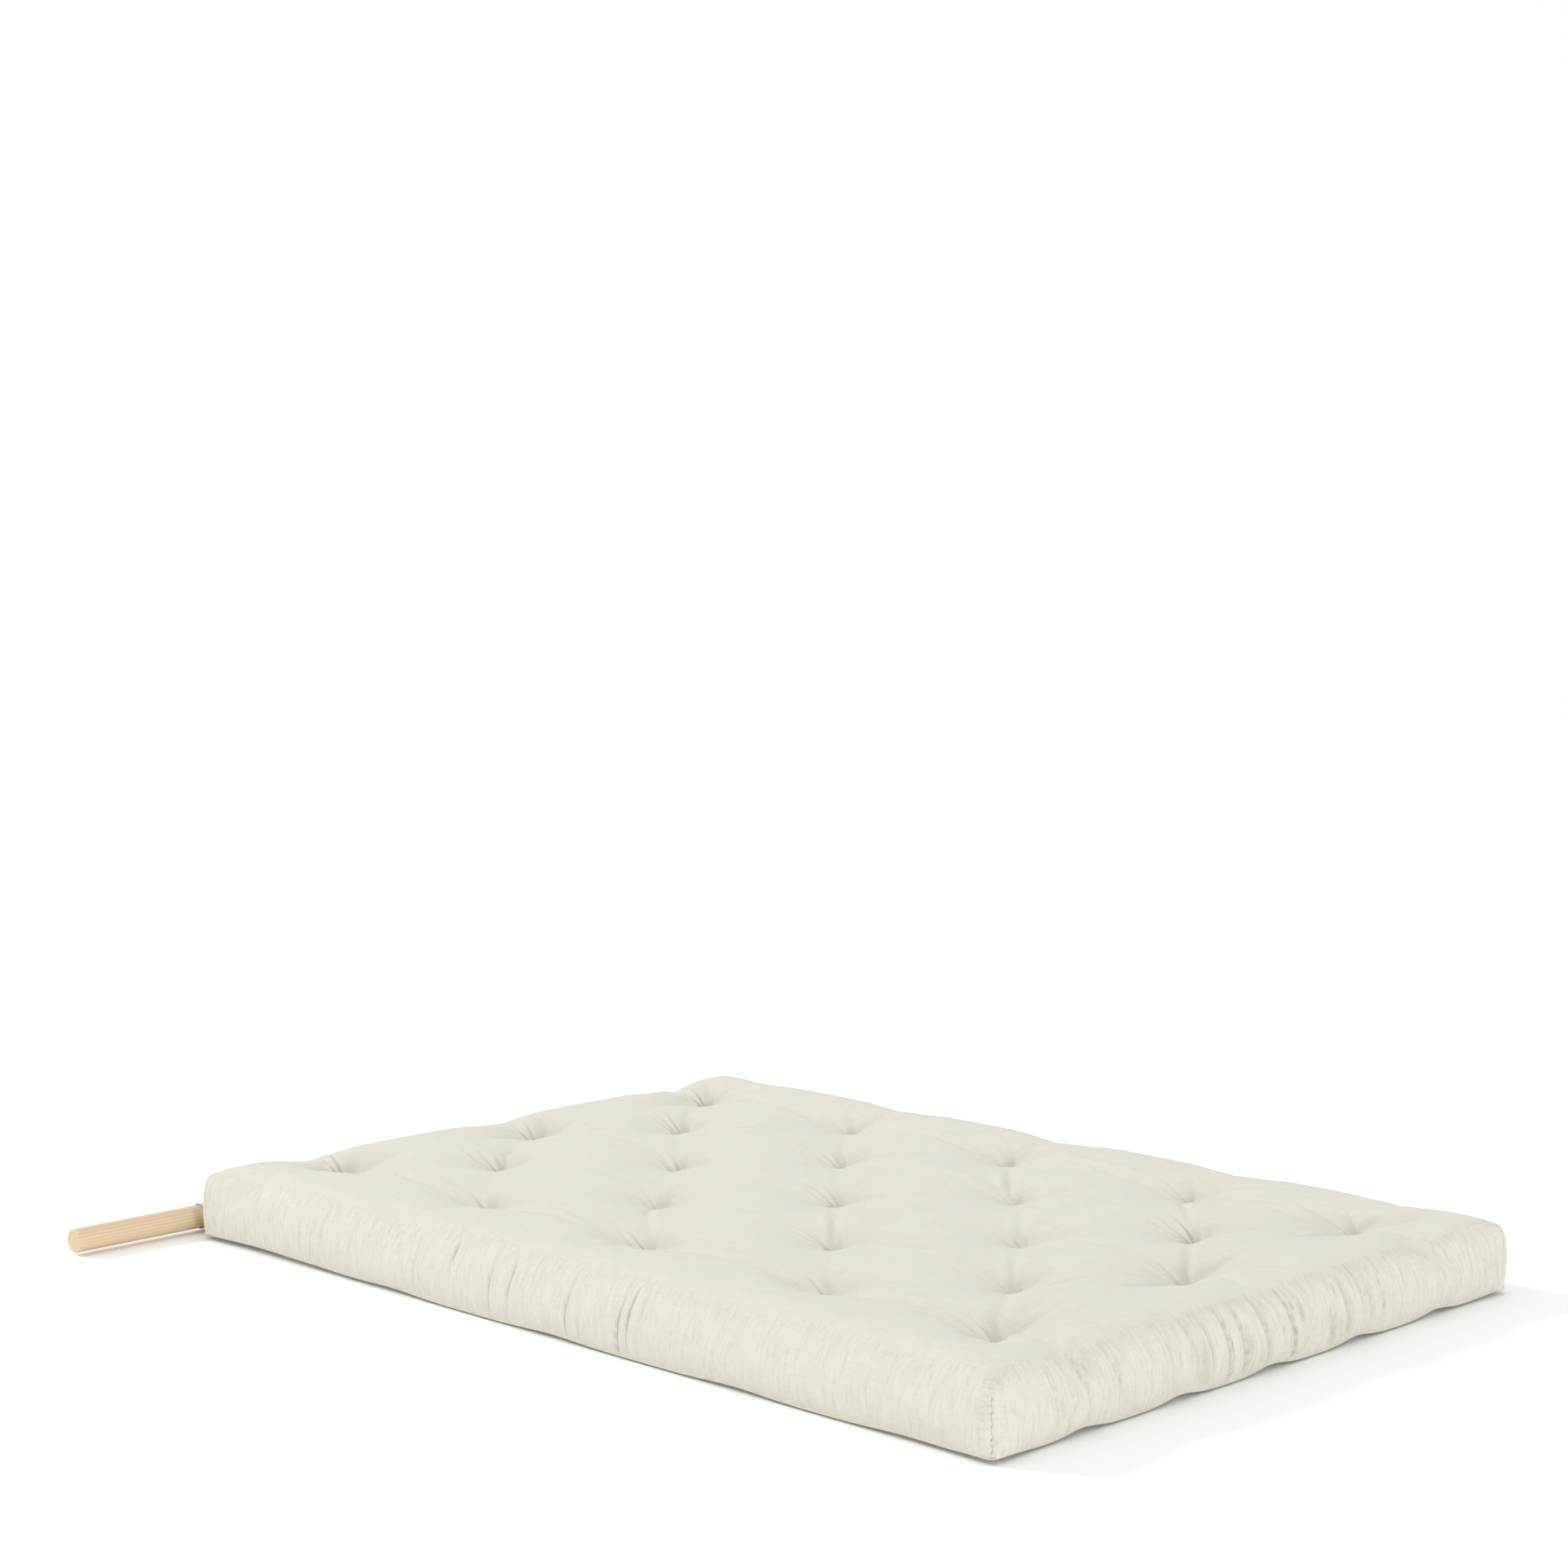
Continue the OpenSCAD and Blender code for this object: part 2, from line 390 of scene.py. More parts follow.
def cloth_places(shares):
    """Where each lattice point lies on the flat cloth, for each of the five panels, in metres."""
    x = (shares[:, 0] - 0.5) * 2 * HALF_W
    y = (shares[:, 1] - 0.5) * 2 * HALF_L
    down = (1 - shares[:, 2]) * PAD_H
    return {
        "top": (x, y),
        "foot": (x, -HALF_L - down),
        "head": (x, HALF_L + down),
        "left": (-HALF_W - down, y),
        "right": (HALF_W + down, y),
    }


def panel_of(shares, quad):
    """The panel of the cover that a quad belongs to."""
    corners = shares[list(quad)]
    if (corners[:, 2] == 1).all():
        return "top"
    if (corners[:, 1] == 0).all():
        return "foot"
    if (corners[:, 1] == 1).all():
        return "head"
    return "left" if (corners[:, 0] == 0).all() else "right"


def lay_cloth_map(mesh, shares, quads):
    """A UV map in metres of flat cloth, so that the weave runs down the sides as the real sheet does."""
    places = cloth_places(shares)
    uv = mesh.uv_layers.new(name="cloth")
    values = np.empty((len(mesh.loops), 2))
    for polygon, quad in zip(mesh.polygons, quads):
        u, v = places[panel_of(shares, quad)]
        for loop, vertex in zip(polygon.loop_indices, quad):
            values[loop] = u[vertex], v[vertex]
    uv.data.foreach_set("uv", values.ravel())


def refine(obj, levels=1):
    """Applies a subdivision surface."""
    smooth = obj.modifiers.new("refine", "SUBSURF")
    smooth.levels = smooth.render_levels = levels
    smooth.boundary_smooth = "PRESERVE_CORNERS"
    smooth.uv_smooth = "NONE"
    evaluated = obj.evaluated_get(bpy.context.evaluated_depsgraph_get())
    finer = bpy.data.meshes.new_from_object(evaluated)
    obj.modifiers.clear()
    old, obj.data = obj.data, finer
    bpy.data.meshes.remove(old)
    finer.name = obj.name


def refine_where_creased(obj, reach=0.085):
    """Halves the mesh's cells once more round the tufts and on the borders, where the folds are finest."""
    tufts = tuft_points()
    mesh = bmesh.new()
    mesh.from_mesh(obj.data)
    middles = np.array([f.calc_center_median() for f in mesh.faces])
    near_tuft = np.hypot(*(middles[:, None, :2] - tufts).transpose(2, 0, 1)).min(axis=1) < reach
    border = middles[:, 2] < PAD_H - 0.018
    outside = (HALF_W - np.abs(middles[:, 0]) < 0.02) | (HALF_L - np.abs(middles[:, 1]) < 0.02)
    chosen = near_tuft | (border & outside)
    edges = {e for f, wanted in zip(mesh.faces, chosen) if wanted for e in f.edges}
    in_order = sorted(edges, key=lambda e: e.index)
    bmesh.ops.subdivide_edges(mesh, edges=in_order, cuts=1, use_grid_fill=True, smooth=0.0)
    mesh.to_mesh(obj.data)
    mesh.free()
    obj.data.polygons.foreach_set("use_smooth", [True] * len(obj.data.polygons))


def fold_profile(off, width):
    """The shape across a crease: a groove with a low ridge of gathered cloth beside it."""
    return -np.exp(-((off / width) ** 2)) + 0.55 * np.exp(-(((off - 1.9 * width) / (1.2 * width)) ** 2))


def crease(xy, a, b, bow, width, depth):
    """The rise of the cloth from one crease, deep at a and fading out in a shallow bow towards b."""
    along, off = near_segment(xy, a, b)
    off = off - bow * 4 * along * (1 - along)
    window = np.clip(along / 0.06, 0, 1) * np.clip(1 - along, 0, 1) ** 1.2
    return depth * window * fold_profile(off, width * (1 + 0.8 * np.clip(along, 0, 1)))


def mouth(xy, t, turn, length, depth):
    """The rise of the cloth round a trough from a tuft: steep under a lip on its right, easy on its left."""
    ahead = np.array([math.cos(turn), math.sin(turn)])
    along, off = near_segment(xy, t, t + length * ahead)
    off = off + 0.016 * along**2
    window = np.clip((along + 0.05) / 0.14, 0, 1) ** 1.5 * np.clip(1 - along, 0, 1) ** 0.8
    low = np.exp(-((off / np.where(off > 0, 0.065, 0.006)) ** 2))
    lip = 0.22 * np.exp(-(((off + 0.022) / 0.012) ** 2))
    return depth * window * (lip - low)


def tension_fold(xy, a, b, bow, width, depth):
    """The rise of the cloth from a soft fold that starts near a and has faded out before b."""
    along, off = near_segment(xy, a, b)
    off = off - bow * np.sin(1.6 * math.pi * along)
    window = np.clip((along - 0.06) / 0.22, 0, 1) * np.clip((0.86 - along) / 0.5, 0, 1) ** 1.3
    return depth * window * fold_profile(off, width * (1 + np.clip(along, 0, 1)))


def brow(xy, a, b, bow, height):
    """The rise of the cloth along the crown of a puff, gentle on one side and steep on the other."""
    along, off = near_segment(xy, a, b)
    off = off - bow * 4 * along * (1 - along)
    window = np.clip(4 * along * (1 - along), 0, 1) ** 0.8
    return height * window * np.exp(-((off / np.where(off > 0, 0.055, 0.018)) ** 2))


def tuft_creases(xy, rng):
    """The rise of the cloth from the folds round the tufts.

    Each tuft has two or three sharp creases towards the head, a trough towards the foot on its right, and,
    next to an edge, a faint crease out to it. Between tufts in neighbouring rows there are soft folds or
    brows, and between those in one column there are brows.
    """
    tufts = tuft_points()
    rise = np.zeros(len(xy))
    for t in tufts:
        angle = math.radians(rng.uniform(*CREASE_TURN))
        strong = rng.uniform(0.3, 1) ** 1.4
        for k in range(rng.integers(2, 4)):
            turn = angle - math.radians(CREASE_SPREAD * (k - 1))
            ahead = np.array([math.cos(turn), math.sin(turn)])
            start = t + 0.009 * (k - 1) * np.array([ahead[1], -ahead[0]])
            end = start + rng.uniform(*CREASE_LENGTH) * (0.6 + 0.6 * strong) * ahead
            depth = strong * rng.uniform(*CREASE_DEPTH)
            rise += crease(xy, start, end, rng.uniform(-0.006, 0.006), CREASE_WIDTH, depth)
        turn = math.radians(rng.uniform(*TROUGH_TURN))
        rise += mouth(xy, t, turn, rng.uniform(*TROUGH_LENGTH), rng.uniform(*TROUGH_DEPTH))
        for end in edge_points(t):
            end = end + 0.02 * rng.uniform(-1, 1)
            bow = rng.uniform(-0.015, 0.015)
            rise += crease(xy, t, end, bow, 0.009, rng.uniform(*EDGE_CREASE_DEPTH))
    for i, j in slant_pairs(tufts):
        low, high = sorted((tufts[i], tufts[j]), key=lambda t: t[0])
        if high[1] > low[1]:
            near, far = (low, high) if rng.uniform(0, 1) < 0.5 else (high, low)
            depth = SOFT_FOLD_DEPTH * max(0.0, rng.uniform(-0.7, 1))
            rise += tension_fold(xy, near, far, rng.uniform(-0.016, 0.016), SOFT_FOLD_WIDTH, depth)
        else:
            rise += brow(xy, high, low, rng.uniform(-0.02, 0.01), rng.uniform(*SLANT_BROW_HEIGHT))
    for i, j in column_pairs(tufts):
        high, low = sorted((tufts[i], tufts[j]), key=lambda t: t[1])
        rise += brow(xy, high, low, -rng.uniform(0.0, 0.035), rng.uniform(*COLUMN_BROW_HEIGHT))
    return rise


def side_gathers(across, z, rng, count, depth):
    """The in and out of the gathers of one side, each over its own part of the height."""
    out = np.zeros(len(across))
    low, high = across.min(), across.max()
    phase = rng.uniform(0, 2 * math.pi)
    for place in rng.uniform(low, high, count):
        share = (place - low) / (high - low)
        bunched = 0.35 + 0.5 * math.exp(-(((share - 0.5) / 0.24) ** 2)) + 0.15 * math.sin(23 * share + phase)
        size = bunched * math.sin(math.pi * share) ** 0.6 * rng.uniform(0.15, 1) ** 2
        middle = rng.uniform(*GATHER_MIDDLE)
        upright = np.exp(-(((z - middle) / rng.uniform(*GATHER_REACH)) ** 2))
        width = rng.uniform(*GATHER_WIDTH)
        if rng.uniform(0, 1) < SHARP_GATHERS:
            size, width = 2.2 * size, 0.6 * width
        out += size * depth * upright * fold_profile(across - place, width)
    return np.clip(out, -0.9 * depth, 0.5 * depth)


def add_folds(obj, rng):
    """Moves the settled cover's points for the folds that are finer than the simulation's mesh."""
    p = points_of(obj.data)
    rise = tuft_creases(p[:, :2], rng)
    p[:, 2] += rise * np.clip((p[:, 2] - 0.09) / 0.02, 0, 1)
    over_hem = p[:, 2] - hem_height(p[:, :2])
    wave = np.clip((PAD_H + 0.004 - p[:, 2]) / 0.035, 0, 1) * np.clip((over_hem - 0.001) / 0.014, 0, 1)
    for axis, sign, count, depth in GATHERED_SIDES:
        near = sign * p[:, axis] > (HALF_W, HALF_L)[axis] - 0.03
        lean = 0.12 * (p[near, 2] - PAD_H / 2)
        out = side_gathers(p[near, 1 - axis] + lean, p[near, 2], rng, count, depth)
        p[near, axis] += sign * out * wave[near]
    to_seam = np.hypot(HALF_W - INSET + EAR - np.abs(p[:, 0]), HALF_L - INSET + EAR - np.abs(p[:, 1]))
    pull = CORNER_SEAM_PULL * np.exp(-((to_seam / 0.010) ** 2)) * (p[:, 2] < 0.125)
    p[:, :2] -= np.sign(p[:, :2]) * pull[:, None]
    obj.data.vertices.foreach_set("co", p.ravel())
    obj.data.update()


def hold_head_border(p):
    """Keeps the head border nearly flat, so the sleeve can turn up, and draws it in at the seam."""
    knee = HALF_L + 0.001 + (EAR - 0.001) * np.exp(-((from_corner(p[:, :2]) / 0.05) ** 2))
    over = np.clip(p[:, 1] - knee, 0, None)
    room = 0.004
    p[:, 1] += room * np.tanh(over / room) - over
    sleeve_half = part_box("dowel_sleeve")[1][0]
    at_seam = np.exp(-(((p[:, 2] - dowel_axis().z) / 0.009) ** 2)) * (np.abs(p[:, 0]) < sleeve_half)
    p[:, 1] -= SLEEVE_SEAM_PULL * at_seam * (p[:, 1] > HALF_L - 0.02)
    return p


def level_off(z):
    """Evens out the crowns: the border and the puffs are filled to about the same height."""
    knee, room = PAD_H - 0.003, 0.008
    return np.where(z > knee, knee + room * np.tanh((z - knee) / room), z)


def cover_top(rng):
    """The cover over the top and down the sides: settled as cloth, then given its finer folds."""
    shares, quads = open_box_lattice()
    start = cover_start(shares, rng)
    obj = mesh_object("cover_top", start, quads)
    tufts = tuft_points()
    held = np.full(len(start), 0.0)
    held[shares[:, 2] == 0] = 1
    on_top = shares[:, 2] == 1
    for t in tufts:
        far = np.hypot(*(start[:, :2] - t).T) + 9 * ~on_top
        held[np.argmin(far)] = 1
        held[far < 0.7 * CELL] = 1
    lay_cloth_map(obj.data, shares, quads)
    settled = settle(obj, cover_cut(shares), held)
    moved = settled - start
    length = np.linalg.norm(moved, axis=1)
    moved *= np.minimum(1, MAX_SETTLING / np.maximum(length, 1e-9))[:, None]
    p = start + moved
    p[:, 2] = level_off(p[:, 2])
    p = hold_head_border(p)
    obj.data.vertices.foreach_set("co", p.ravel())
    refine(obj)
    refine_where_creased(obj)
    add_folds(obj, rng)
    return obj


# ---------------------------------------------------------------- what the cover holds and is sewn with

def ray_heights(cover, x, y):
    """The height of the cover's upper face over each (x, y)."""
    tree = BVHTree.FromObject(cover, bpy.context.evaluated_depsgraph_get())
    down = Vector((0, 0, -1))
    heights = []
    for px, py in zip(x, y):
        hit = tree.ray_cast(Vector((px, py, 1)), down)[0]
        heights.append(hit.z if hit else 0.0)
    return np.array(heights)


def underside_at(xy):
    """The height of the underside: flat on the floor, with a shallow hollow at each tie and a lifted edge."""
    inside = np.minimum(HALF_W - INSET - np.abs(xy[:, 0]), HALF_L - INSET - np.abs(xy[:, 1]))
    height = 0.0012 + (hem_height(xy) - 0.0012) * np.clip(1 - inside / 0.05, 0, 1) ** 2
    for t in tuft_points():
        r = np.hypot(*(xy - t).T)
        height += (TUFT_LIFT - 0.001) * np.clip(1 - r / UNDER_HOLLOW_R, 0, 1) ** 1.6
    return height


def plan_grid(cell, inset):
    """A grid over the pad's plan with its corners rounded, as points and its two counts."""
    nx, ny = round(2 * HALF_W / cell), round(2 * HALF_L / cell)
    half_x, half_y = HALF_W - inset, HALF_L - inset
    i, j = np.meshgrid(np.arange(nx + 1), np.arange(ny + 1), indexing="ij")
    shares = np.stack([i.ravel() / nx, j.ravel() / ny], axis=1)
    return eared(round_corners((shares * 2 - 1) * (half_x, half_y), half_x, half_y, CORNER_R)), nx, ny


def grid_quads(nx, ny, first=0, flip=False):
    """The quads of a grid whose points start at first, facing down if flipped."""
    quads = []
    for i in range(nx):
        for j in range(ny):
            a = first + i * (ny + 1) + j
            quad = (a, a + ny + 1, a + ny + 2, a + 1)
            quads.append(quad[::-1] if flip else quad)
    return quads


def rim_quads(nx, ny, first):
    """Quads that join the edge of a lower grid, which starts at 0, to that of an upper one."""
    side = [i * (ny + 1) for i in range(nx)]
    side += [nx * (ny + 1) + j for j in range(ny)]
    side += [i * (ny + 1) + ny for i in range(nx, 0, -1)]
    side += list(range(ny, 0, -1))
    return [(a, b, b + first, a + first) for a, b in zip(side, side[1:] + side[:1])]


def slab(name, xy, nx, ny, low, high):
    """A closed sheet of filling between two height maps on one grid."""
    count = len(xy)
    points = np.vstack([np.column_stack([xy, low]), np.column_stack([xy, high])])
    quads = grid_quads(nx, ny, flip=True) + grid_quads(nx, ny, first=count) + rim_quads(nx, ny, count)
    return mesh_object(name, points, quads)


def lowest_near(height, nx, ny):
    """Each height lowered to the least of its neighbours'."""
    h = height.reshape(nx + 1, ny + 1)
    padded = np.pad(h, 1, mode="edge")
    shifted = [padded[1 + a:nx + 2 + a, 1 + b:ny + 2 + b] for a in (-1, 0, 1) for b in (-1, 0, 1)]
    return np.min(shifted, axis=0).ravel()


FILLING = ["cotton_felt_1", "cotton_felt_2", "foam_sheet_1", "foam_sheet_2", "cotton_felt_3", "cotton_felt_4"]


def filling(cover):
    """The felt and foam sheets, pressed between the underside and the cover."""
    xy, nx, ny = plan_grid(0.02, 0.012)
    top = lowest_near(ray_heights(cover, *xy.T), nx, ny) - ROOM_ABOVE
    bottom = underside_at(xy) + ROOM_BELOW
    tops = [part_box(f"{name}_seat")[1][2] / PAD_H for name in FILLING[:-1]]
    pieces = []
    for name, share_low, share_high in zip(FILLING, [0.0, *tops], [*tops, 1.0]):
        gap = SHEET_GAP if share_low else 0
        low = bottom + (top - bottom) * share_low + gap
        pieces.append(slab(name, xy, nx, ny, low, bottom + (top - bottom) * share_high))
    return pieces


def cover_bottom():
    """The underside: one sheet, drawn up a little at each tie and at its edge."""
    xy, nx, ny = plan_grid(0.01, INSET)
    points = np.column_stack([xy, underside_at(xy)])
    obj = mesh_object("cover_bottom", points, grid_quads(nx, ny, flip=True))
    map_by_vertex(obj.data, xy)
    return obj


def tubes(name, lines, radius, sides=8, taper=False):
    """One mesh of round threads, one along each line of points, mapped by metres along and turns round."""
    points, quads, run = [], [], []
    for line in lines:
        line = np.asarray(line, float)
        ahead = np.gradient(line, axis=0)
        ahead /= np.linalg.norm(ahead, axis=1)[:, None]
        up = np.array([0, 0, 1.0]) if abs(ahead[0][2]) < 0.9 else np.array([1.0, 0, 0])
        first = len(points)
        steps = np.r_[0, np.cumsum(np.linalg.norm(np.diff(line, axis=0), axis=1))]
        run += [(steps[k], a / sides) for k in range(len(line)) for a in range(sides)]
        for k, (place, d) in enumerate(zip(line, ahead)):
            side = np.cross(d, up)
            side /= np.linalg.norm(side)
            up = np.cross(side, d)
            end = k in (0, len(line) - 1)
            r = radius * (0.55 if taper and end else 1)
            for a in np.arange(sides) * 2 * math.pi / sides:
                points.append(place + r * (math.cos(a) * side + math.sin(a) * up))
        for k in range(len(line) - 1):
            for a in range(sides):
                b = (a + 1) % sides
                row, above = first + k * sides, first + (k + 1) * sides
                quads.append((row + a, row + b, above + b, above + a))
        quads.append(tuple(first + a for a in reversed(range(sides))))
        last = first + (len(line) - 1) * sides
        quads.append(tuple(last + a for a in range(sides)))
    obj = mesh_object(name, points, quads)
    map_by_vertex(obj.data, np.array(run))
    return obj


def twine_tie(x, y, z_top, z_bottom):
    """The lines of one tie: two strands, the stitch on top, and the knot below with its two tails."""
    half, arch = 0.004, 0.0022
    lines = [[(x + s * half, y, z) for z in np.linspace(z_bottom, z_top, 6)] for s in (-1, 1)]
    t = np.linspace(-1, 1, 9)
    lines.append(np.column_stack([x + t * half, y + 0.0006 * t, z_top + arch * (1 - t**4)]))
    lines.append(np.column_stack([x + t * half, y - 0.0006 * t, z_bottom - arch * (1 - t**4)]))
    turn = np.linspace(0, 4 * math.pi, 30)
    wind = 0.0018
    lines.append(np.column_stack([
        x + 0.0012 * (turn / turn[-1] - 0.5) * 3,
        y + wind * np.cos(turn),
        z_bottom - 0.0015 + wind * np.sin(turn),
    ]))
    for s in (-1, 1):
        t = np.linspace(0, 1, 7)
        lines.append(np.column_stack([
            x + s * (0.001 + 0.010 * t), y + s * 0.006 * t**2, z_bottom - 0.002 - 0.0018 * t
        ]))
    return lines


def tuft_ties(part, cover):
    """The ties of the tufts on one side of the fold."""
    tufts = [t for t in tuft_points() if (t[1] > FOLD.y) == (part == "back")]
    tops = ray_heights(cover, *np.array(tufts).T)
    lines = []
    for (x, y), top in zip(tufts, tops):
        lines += twine_tie(x, y, top - 0.0002, TUFT_LIFT - 0.0022)
    return tubes(f"twine_{part}", lines, TWINE_R)


def corner_stitches(end, cover):
    """Whipped stitches up the two corners of one end; end is -1 at the foot and 1 at the head."""
    tree = BVHTree.FromObject(cover, bpy.context.evaluated_depsgraph_get())
    name = "head" if end > 0 else "foot"
    low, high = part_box(f"corner_stitching_{name}")
    lines = []
    for side in (-1, 1):
        out = Vector((side, end, 0)).normalized()
        core = Vector((side * (HALF_W - CORNER_R), end * (HALF_L - CORNER_R), 0))
        across = Vector((-out.y, out.x, 0))
        for k, z in enumerate(np.arange(low[2], high[2], CORNER_STITCH_PITCH)):
            hit = tree.ray_cast(core + out * 0.1 + Vector((0, 0, z)), -out)
            if not hit[0]:
                continue
            lean = Vector((0.35 * across.x, 0.35 * across.y, 1 if k % 2 else -1)).normalized()
            lines.append([
                hit[0] + lean * t * 0.0038 + hit[1] * (0.0010 * (1 - t * t))
                for t in np.linspace(-1, 1, 6)
            ])
    return tubes(f"corner_thread_{name}", lines, CORNER_THREAD_R, sides=6)


def rounded_perimeter(half_x, half_y, r, step):
    """Points round a rectangle with rounded corners, about step apart."""
    points = []
    for k, (sx, sy) in enumerate([(1, 1), (-1, 1), (-1, -1), (1, -1)]):
        for a in np.linspace(0, math.pi / 2, 9):
            turn = k * math.pi / 2 + a
            points.append((sx * (half_x - r) + r * math.cos(turn), sy * (half_y - r) + r * math.sin(turn)))
    points = np.array(points + points[:1])
    length = np.r_[0, np.cumsum(np.linalg.norm(np.diff(points, axis=0), axis=1))]
    t = np.linspace(0, length[-1], round(length[-1] / step) + 1)[:-1]
    return eared(np.column_stack([np.interp(t, length, points[:, 0]), np.interp(t, length, points[:, 1])]))


def bottom_seam():
    """The edge where top and bottom are sewn together: a narrow rolled hem, whipped with thread."""
    xy = rounded_perimeter(HALF_W - INSET + 0.0006, HALF_L - INSET + 0.0006, CORNER_R, 0.012)
    ring = np.column_stack([xy, hem_height(xy) - 0.0006])
    hem = np.vstack([ring, ring[:2]])
    return tubes("bottom_seam", [hem], HEM_R)


# ---------------------------------------------------------------- sleeve

def sleeve_profile(axis_y, axis_z, r):
    """Half of the sleeve's section, as (y, z): along the flap from the head border, then round the dowel."""
    start_y = HALF_L + 0.001
    seam_y = axis_y - r - 0.0055
    flap = [(y, axis_z + 0.0008) for y in np.linspace(start_y, seam_y, 8)]
    bend = math.radians(152)
    neck_end = (axis_y + r * math.cos(bend), axis_z + r * math.sin(bend))
    neck = [
        ((1 - t) ** 2 * seam_y + 2 * t * (1 - t) * (seam_y + 0.006) + t * t * neck_end[0],
         (1 - t) ** 2 * (axis_z + 0.0008) + 2 * t * (1 - t) * (axis_z + 0.002) + t * t * neck_end[1])
        for t in np.linspace(0.2, 0.8, 4)
    ]
    arc = [(axis_y + r * math.cos(a), axis_z + r * math.sin(a)) for a in np.linspace(bend, 0, 20)]
    return flap + neck + arc


def dowel_sleeve(rng):
    """One strip of cloth folded round the dowel. Returns it with the strip's flat width and its length."""
    low, high = (Vector(p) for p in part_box("dowel_sleeve"))
    axis = dowel_axis()
    r = high.y - axis.y - 0.0012
    upper = np.array(sleeve_profile(axis.y, axis.z, r))
    lower = upper[-2::-1] * (1, -1) + (0, 2 * axis.z)
    profile = np.vstack([upper, lower])
    xs = np.arange(low.x, high.x + 0.001, 0.009)
    phase = rng.uniform(0, 2 * math.pi, 6)
    points = []
    for x in xs:
        away = profile - (axis.y, axis.z)
        far = np.linalg.norm(away, axis=1)
        ripple = sum(math.sin(x * k * 19 + phase[k]) / (k + 1) for k in range(6))
        loose = 0.0007 * ripple * np.clip((profile[:, 0] - HALF_L) / 0.05, 0, 1)
        moved = profile + away / far[:, None] * np.minimum(loose, 0.0009)[:, None]
        points += [(x, y, z) for y, z in moved]
    n = len(profile)
    obj = mesh_object("sleeve_cloth", points, grid_quads(len(xs) - 1, n - 1))
    along = np.r_[0, np.cumsum(np.linalg.norm(np.diff(profile, axis=0), axis=1))]
    map_by_vertex(obj.data, np.array([(0.3 * x, v) for x in xs for v in along]))
    thick = obj.modifiers.new("thickness", "SOLIDIFY")
    thick.thickness = 0.0009
    thick.offset = 0
    refine(obj, 0)
    return obj, along[-1], high.x - low.x


def dowel_axis():
    """The middle of the dowel."""
    low, high = (Vector(p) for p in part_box("hanging_dowel"))
    return (low + high) / 2


def sleeve_stitches():
    """Running stitches along both faces of the flap."""
    low, high = (Vector(p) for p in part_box("sleeve_stitching"))
    y = (low.y + high.y) / 2
    lines = []
    for side in (-1, 1):
        z = dowel_axis().z + side * 0.00155
        for x in np.arange(low.x, high.x - 0.004, SLEEVE_STITCH_PITCH):
            t = np.linspace(0, 1, 5)
            arch = z + side * 0.0004 * np.sin(math.pi * t)
            lines.append(np.column_stack([x + 0.0044 * t, np.full(5, y), arch]))
    return tubes("sleeve_thread", lines, SLEEVE_THREAD_R, sides=6)


# ---------------------------------------------------------------- materials

# Two threads of the cover's weave, in metres
THREAD_PITCH = 0.0013


def new_material(name):
    """A new material, with its node tree and its shader."""
    material = bpy.data.materials.new(name)
    material.use_nodes = True
    return material, material.node_tree, material.node_tree.nodes["Principled BSDF"]


def set_material(obj, material):
    obj.data.materials.clear()
    obj.data.materials.append(material)


def node(tree, kind, **values):
    """A new node with its settings, then its inputs by name."""
    made = tree.nodes.new(kind)
    for name, value in values.items():
        if hasattr(made, name):
            setattr(made, name, value)
        else:
            made.inputs[name.replace("_", " ")].default_value = value
    return made


def calc(tree, operation, a, b=0.0, c=None):
    """A sum over numbers and sockets, as a socket."""
    made = tree.nodes.new("ShaderNodeMath")
    made.operation = operation
    for socket, value in zip(made.inputs, (a, b, c)):
        if value is None:
            continue
        if isinstance(value, (int, float)):
            socket.default_value = value
        else:
            tree.links.new(value, socket)
    return made.outputs[0]


def mixed(tree, total, parts):
    """The total with each part added by its weight."""
    for part, weight in parts:
        total = calc(tree, "MULTIPLY_ADD", part, weight, total)
    return total


def stretched_noise(tree, vector, scale, detail, seed):
    """Noise stretched by its scale along each axis of the vector, about 0.5."""
    place = node(tree, "ShaderNodeMapping", vector_type="POINT")
    place.inputs["Scale"].default_value = scale
    place.inputs["Location"].default_value = (seed, 2.7 * seed, 0)
    tree.links.new(vector, place.inputs["Vector"])
    noise = node(tree, "ShaderNodeTexNoise", noise_dimensions="2D", Scale=1.0, Detail=detail, Roughness=0.6)
    tree.links.new(place.outputs[0], noise.inputs["Vector"])
    return noise.outputs["Fac"]


def raised(tree, value, low, high):
    """The value from 0 at low to 1 at high, and no further."""
    made = node(tree, "ShaderNodeMapRange", clamp=True, From_Min=low, From_Max=high)
    tree.links.new(value, made.inputs["Value"])
    return made.outputs["Result"]


def colours(tree, value, stops):
    """A colour ramp over value, from (place, colour) stops."""
    ramp = tree.nodes.new("ShaderNodeValToRGB")
    ends = ramp.color_ramp.elements
    while len(ends) < len(stops):
        ends.new(0.5)
    for element, (place, colour) in zip(ends, stops):
        element.position = place
        element.color = (*colour, 1)
    tree.links.new(value, ramp.inputs["Fac"])
    return ramp.outputs["Color"]


def bumped(tree, shader, height, distance, strength=1.0):
    bump = node(tree, "ShaderNodeBump", Strength=strength, Distance=distance)
    tree.links.new(height, bump.inputs["Height"])
    tree.links.new(bump.outputs["Normal"], shader.inputs["Normal"])


